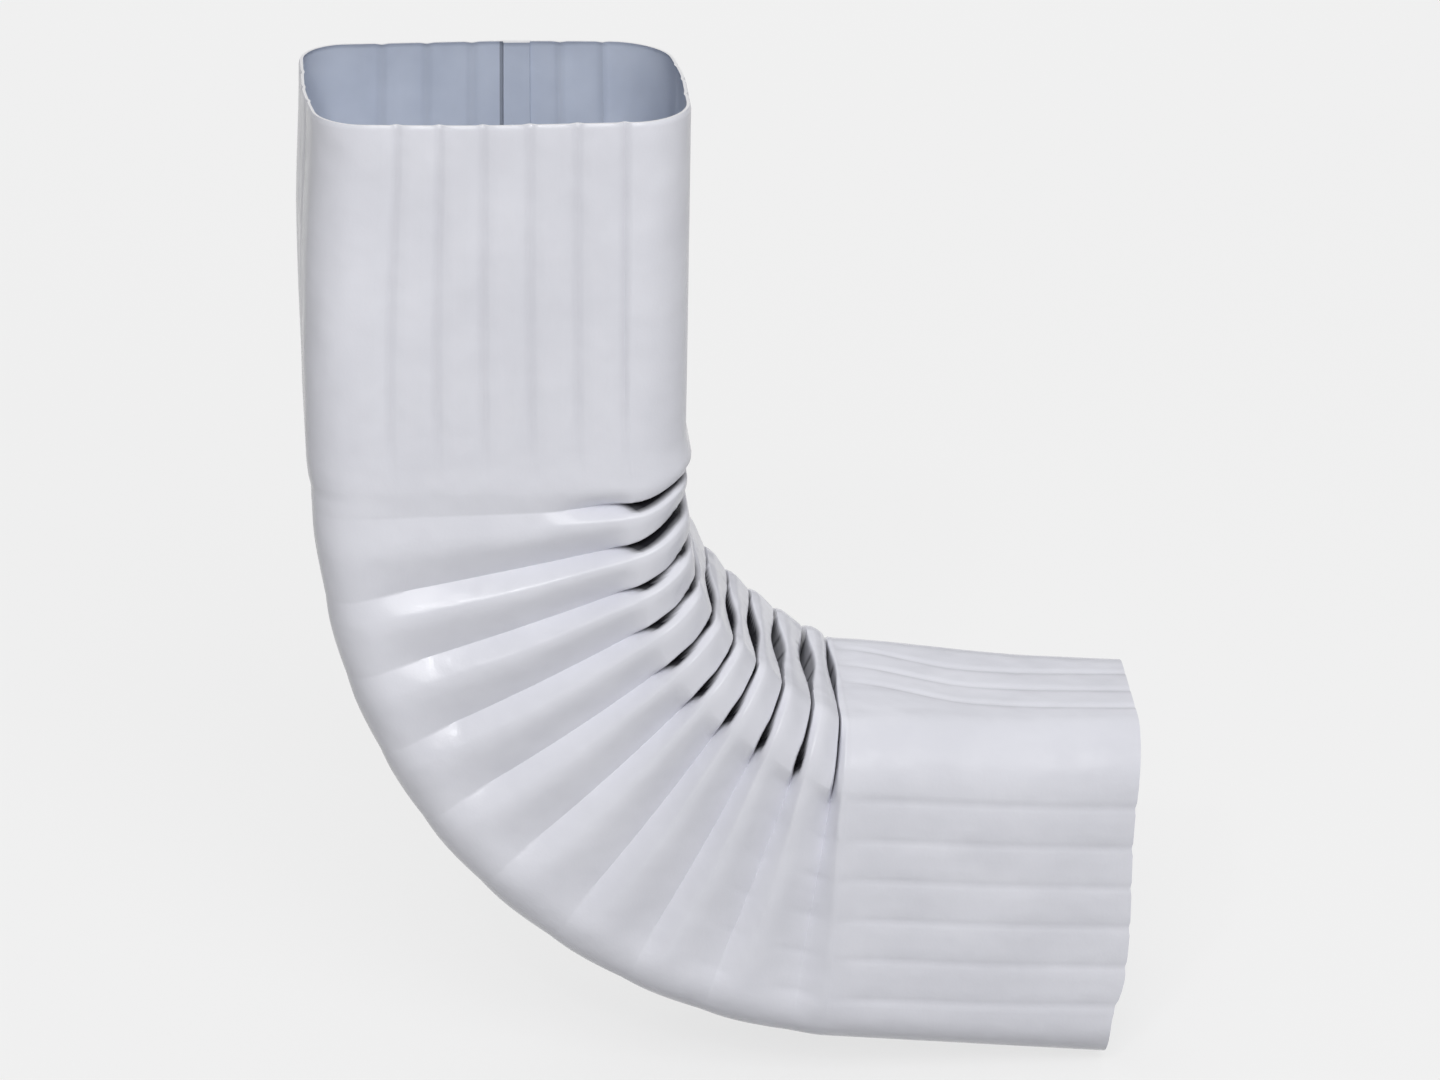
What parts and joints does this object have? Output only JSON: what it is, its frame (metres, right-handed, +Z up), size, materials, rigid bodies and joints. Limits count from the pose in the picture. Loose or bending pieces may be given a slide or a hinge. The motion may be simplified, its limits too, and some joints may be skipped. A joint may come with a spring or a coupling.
{
  "type": "downspout elbow",
  "caption": "Rectangular sheet-metal downspout elbow, bent sideways by a row of crimps, with grooved straight legs, an open inlet on top and a narrower outlet to the side.",
  "frame": {"origin": "centre of the inlet's open rim", "axes": "+Z up and out of the inlet, +X towards the side that the outlet leads to, Y across the narrow way of the tube"},
  "size_m": [0.1794, 0.0666, 0.2214],
  "materials": {
    "painted_sheet": "satin white paint"
  },
  "bodies": {
    "root": {"downspout_elbow": "painted_sheet"}
  },
  "joints": []
}
